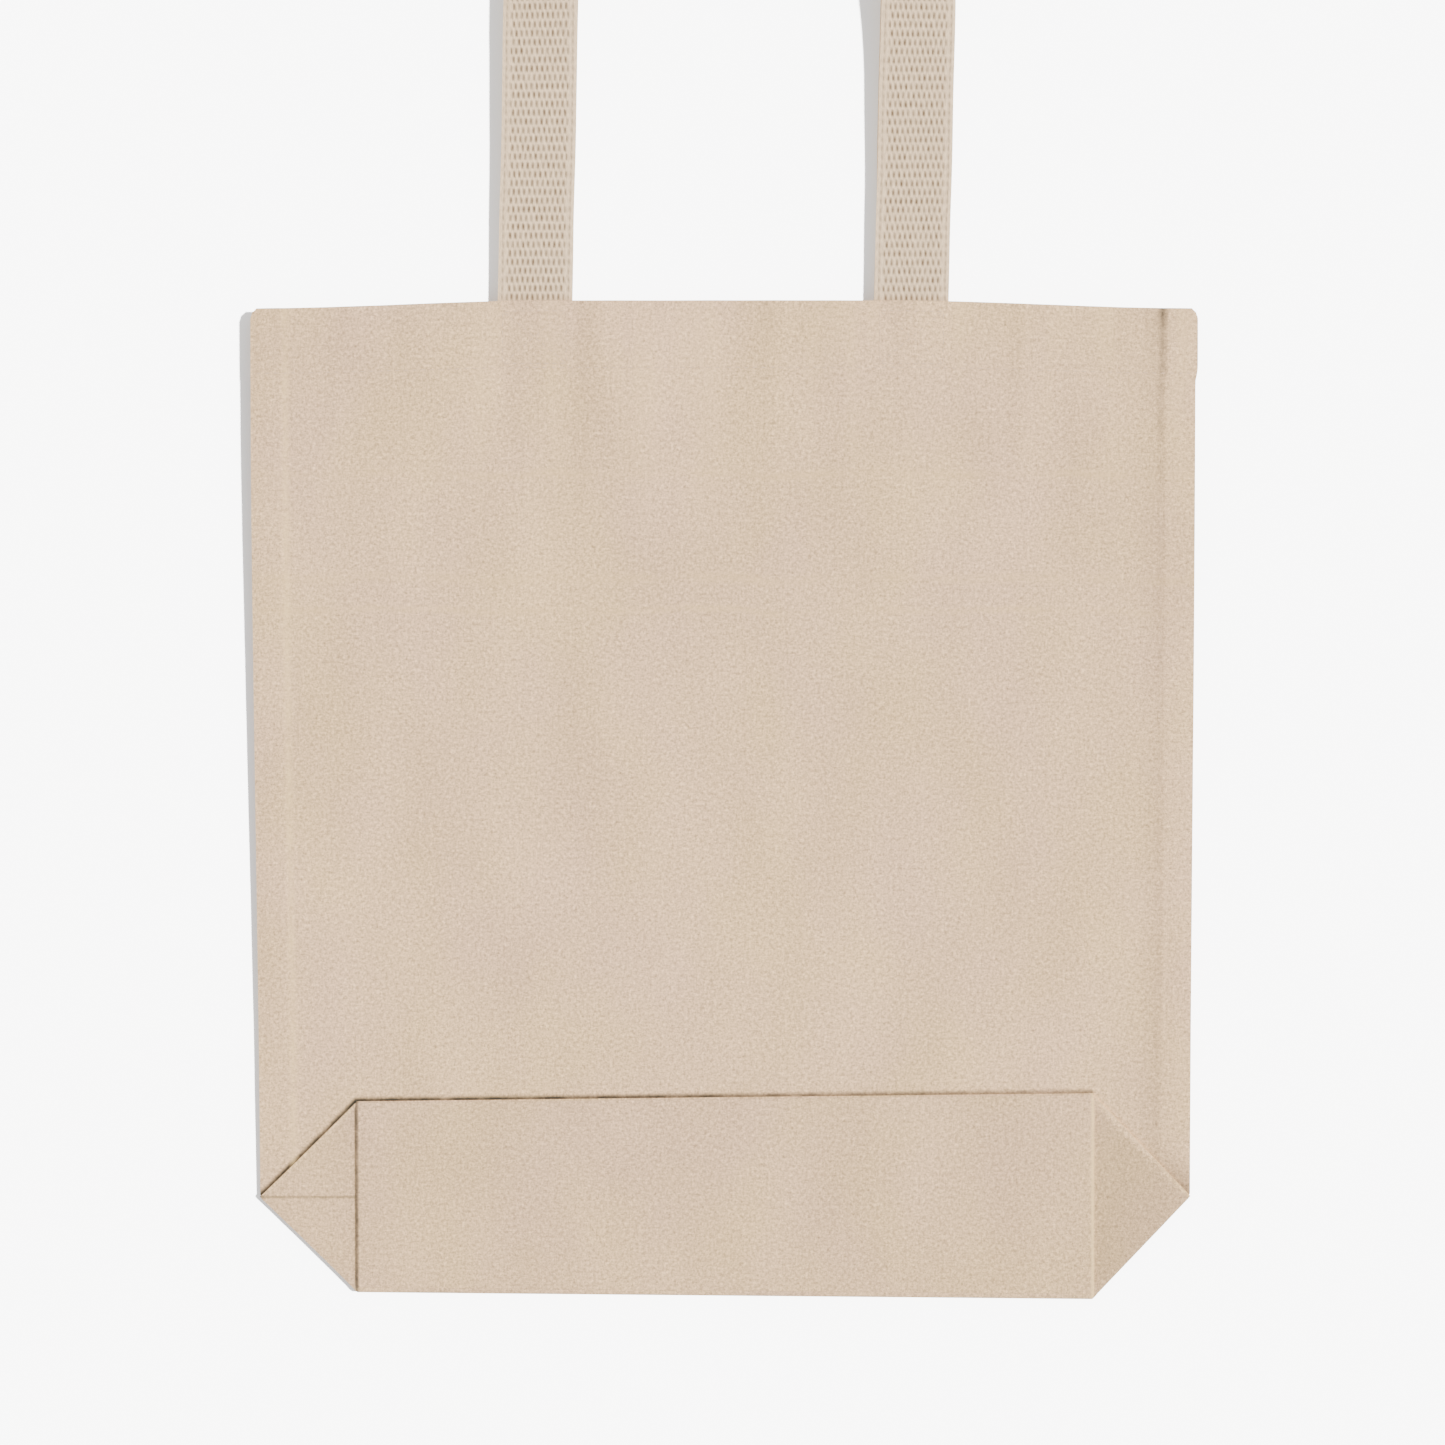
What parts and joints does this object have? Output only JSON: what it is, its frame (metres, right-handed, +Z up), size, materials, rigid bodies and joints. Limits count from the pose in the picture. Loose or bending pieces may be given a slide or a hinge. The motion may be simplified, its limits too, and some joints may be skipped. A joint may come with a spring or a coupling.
{
  "type": "canvas tote bag",
  "caption": "Flat-folded natural cotton canvas tote bag with a boxed base folded up over the front, a turned hem and flat webbing handles.",
  "frame": {"origin": "middle of the outline of the laid-flat bag and handles, on the surface it rests on", "axes": "+Z up from the resting surface, +Y from the base towards the mouth and handles, +X to the right seen from above"},
  "size_m": [0.381, 0.6324, 0.0375],
  "materials": {
    "cotton_canvas": "undyed plain-woven cotton canvas, matt, with small darker seed flecks",
    "cotton_webbing": "undyed flat cotton webbing with rows of short ribs and plain selvages",
    "cotton_thread": "undyed cotton sewing thread"
  },
  "bodies": {
    "back": {"back_panel": "cotton_canvas", "back_hem": "cotton_canvas", "back_hem_stitching": "cotton_thread", "back_left_handle_end": "cotton_webbing", "back_left_cross_stitch": "cotton_thread", "back_right_handle_end": "cotton_webbing", "back_right_cross_stitch": "cotton_thread"},
    "base": {"base_panel": "cotton_canvas", "left_corner_ear": "cotton_canvas", "left_corner_seam_thread": "cotton_thread", "right_corner_ear": "cotton_canvas", "right_corner_seam_thread": "cotton_thread"},
    "lower_strip": {"front_lower_strip": "cotton_canvas"},
    "front": {"front_panel": "cotton_canvas", "front_hem": "cotton_canvas", "front_hem_stitching": "cotton_thread", "front_left_handle_end": "cotton_webbing", "front_left_cross_stitch": "cotton_thread", "front_right_handle_end": "cotton_webbing", "front_right_cross_stitch": "cotton_thread"},
    "front_handle": {"front_handle": "cotton_webbing"},
    "back_handle": {"back_handle": "cotton_webbing"},
    "left_back_gusset": {"left_back_gusset": "cotton_canvas", "left_back_gusset_hem": "cotton_canvas"},
    "left_front_gusset": {"left_front_gusset": "cotton_canvas", "left_front_gusset_hem": "cotton_canvas", "left_side_seam_allowance": "cotton_canvas", "left_side_overlock_thread": "cotton_thread"},
    "left_wall_corner": {"left_wall_corner": "cotton_canvas"},
    "left_strip_corner": {"left_lower_strip_corner": "cotton_canvas"},
    "right_back_gusset": {"right_back_gusset": "cotton_canvas", "right_back_gusset_hem": "cotton_canvas"},
    "right_front_gusset": {"right_front_gusset": "cotton_canvas", "right_front_gusset_hem": "cotton_canvas", "right_side_seam_allowance": "cotton_canvas", "right_side_overlock_thread": "cotton_thread"},
    "right_wall_corner": {"right_wall_corner": "cotton_canvas"},
    "right_strip_corner": {"right_lower_strip_corner": "cotton_canvas"}
  },
  "joints": [
    {"name": "base_unfold", "type": "hinge", "parent": "back", "child": "base", "pos_m": [0, -0.3162, 0.001], "axis": [1, 0, 0], "range_deg": [0, 90], "deforming": ["left_back_gusset", "left_back_gusset_hem", "left_front_gusset", "left_front_gusset_hem", "left_side_seam_allowance", "left_side_overlock_thread", "left_wall_corner", "left_lower_strip_corner", "right_back_gusset", "right_back_gusset_hem", "right_front_gusset", "right_front_gusset_hem", "right_side_seam_allowance", "right_side_overlock_thread", "right_wall_corner", "right_lower_strip_corner"]},
    {"name": "lower_strip_unfold", "type": "hinge", "parent": "base", "child": "lower_strip", "pos_m": [0, -0.2362, 0.00483], "axis": [1, 0, 0], "range_deg": [-2, 97]},
    {"name": "front_unfold", "type": "hinge", "parent": "lower_strip", "child": "front", "pos_m": [0, -0.2762, 0.00287], "axis": [1, 0, 0], "range_deg": [-192, 2]},
    {"name": "left_back_gusset_fold", "type": "hinge", "parent": "back", "child": "left_back_gusset", "pos_m": [-0.1505, -0.1162, 0.0003], "axis": [0, 1, 0], "range_deg": [-2, 97]},
    {"name": "left_front_gusset_fold", "type": "hinge", "parent": "front", "child": "left_front_gusset", "pos_m": [-0.1505, -0.2762, 0.0021], "axis": [0, -0.9999, -0.0159], "range_deg": [-2, 97]},
    {"name": "left_wall_corner_fold", "type": "hinge", "parent": "base", "child": "left_wall_corner", "pos_m": [-0.1505, -0.2762, 0.00604], "axis": [0, -1, 0], "range_deg": [-2, 97]},
    {"name": "left_strip_corner_fold", "type": "hinge", "parent": "lower_strip", "child": "left_strip_corner", "pos_m": [-0.1505, -0.2562, 0.00364], "axis": [0, 1, 0], "range_deg": [-2, 97]},
    {"name": "right_back_gusset_fold", "type": "hinge", "parent": "back", "child": "right_back_gusset", "pos_m": [0.1505, -0.1162, 0.0003], "axis": [0, -1, 0], "range_deg": [-2, 97]},
    {"name": "right_front_gusset_fold", "type": "hinge", "parent": "front", "child": "right_front_gusset", "pos_m": [0.1505, -0.2762, 0.0021], "axis": [0, 0.9999, 0.0159], "range_deg": [-2, 97]},
    {"name": "right_wall_corner_fold", "type": "hinge", "parent": "base", "child": "right_wall_corner", "pos_m": [0.1505, -0.2762, 0.00604], "axis": [0, 1, 0], "range_deg": [-2, 97]},
    {"name": "right_strip_corner_fold", "type": "hinge", "parent": "lower_strip", "child": "right_strip_corner", "pos_m": [0.1505, -0.2562, 0.00364], "axis": [0, -1, 0], "range_deg": [-2, 97]},
    {"name": "front_handle_swing", "type": "hinge", "parent": "front", "child": "front_handle", "pos_m": [0, 0.0843, 0.00745], "axis": [1, 0, 0], "range_deg": [0, 168]},
    {"name": "back_handle_swing", "type": "hinge", "parent": "back", "child": "back_handle", "pos_m": [0, 0.0843, 0.00065], "axis": [1, 0, 0], "range_deg": [-168, 0]}
  ],
  "couplings": [
    {"joint": "lower_strip_unfold", "follows": "base_unfold", "ratio": 1},
    {"joint": "front_unfold", "follows": "base_unfold", "ratio": -2.005},
    {"joint": "left_back_gusset_fold", "follows": "base_unfold", "ratio": 1},
    {"joint": "left_front_gusset_fold", "follows": "base_unfold", "ratio": 1},
    {"joint": "left_wall_corner_fold", "follows": "base_unfold", "ratio": 1},
    {"joint": "left_strip_corner_fold", "follows": "base_unfold", "ratio": 1},
    {"joint": "right_back_gusset_fold", "follows": "base_unfold", "ratio": 1},
    {"joint": "right_front_gusset_fold", "follows": "base_unfold", "ratio": 1},
    {"joint": "right_wall_corner_fold", "follows": "base_unfold", "ratio": 1},
    {"joint": "right_strip_corner_fold", "follows": "base_unfold", "ratio": 1}
  ]
}
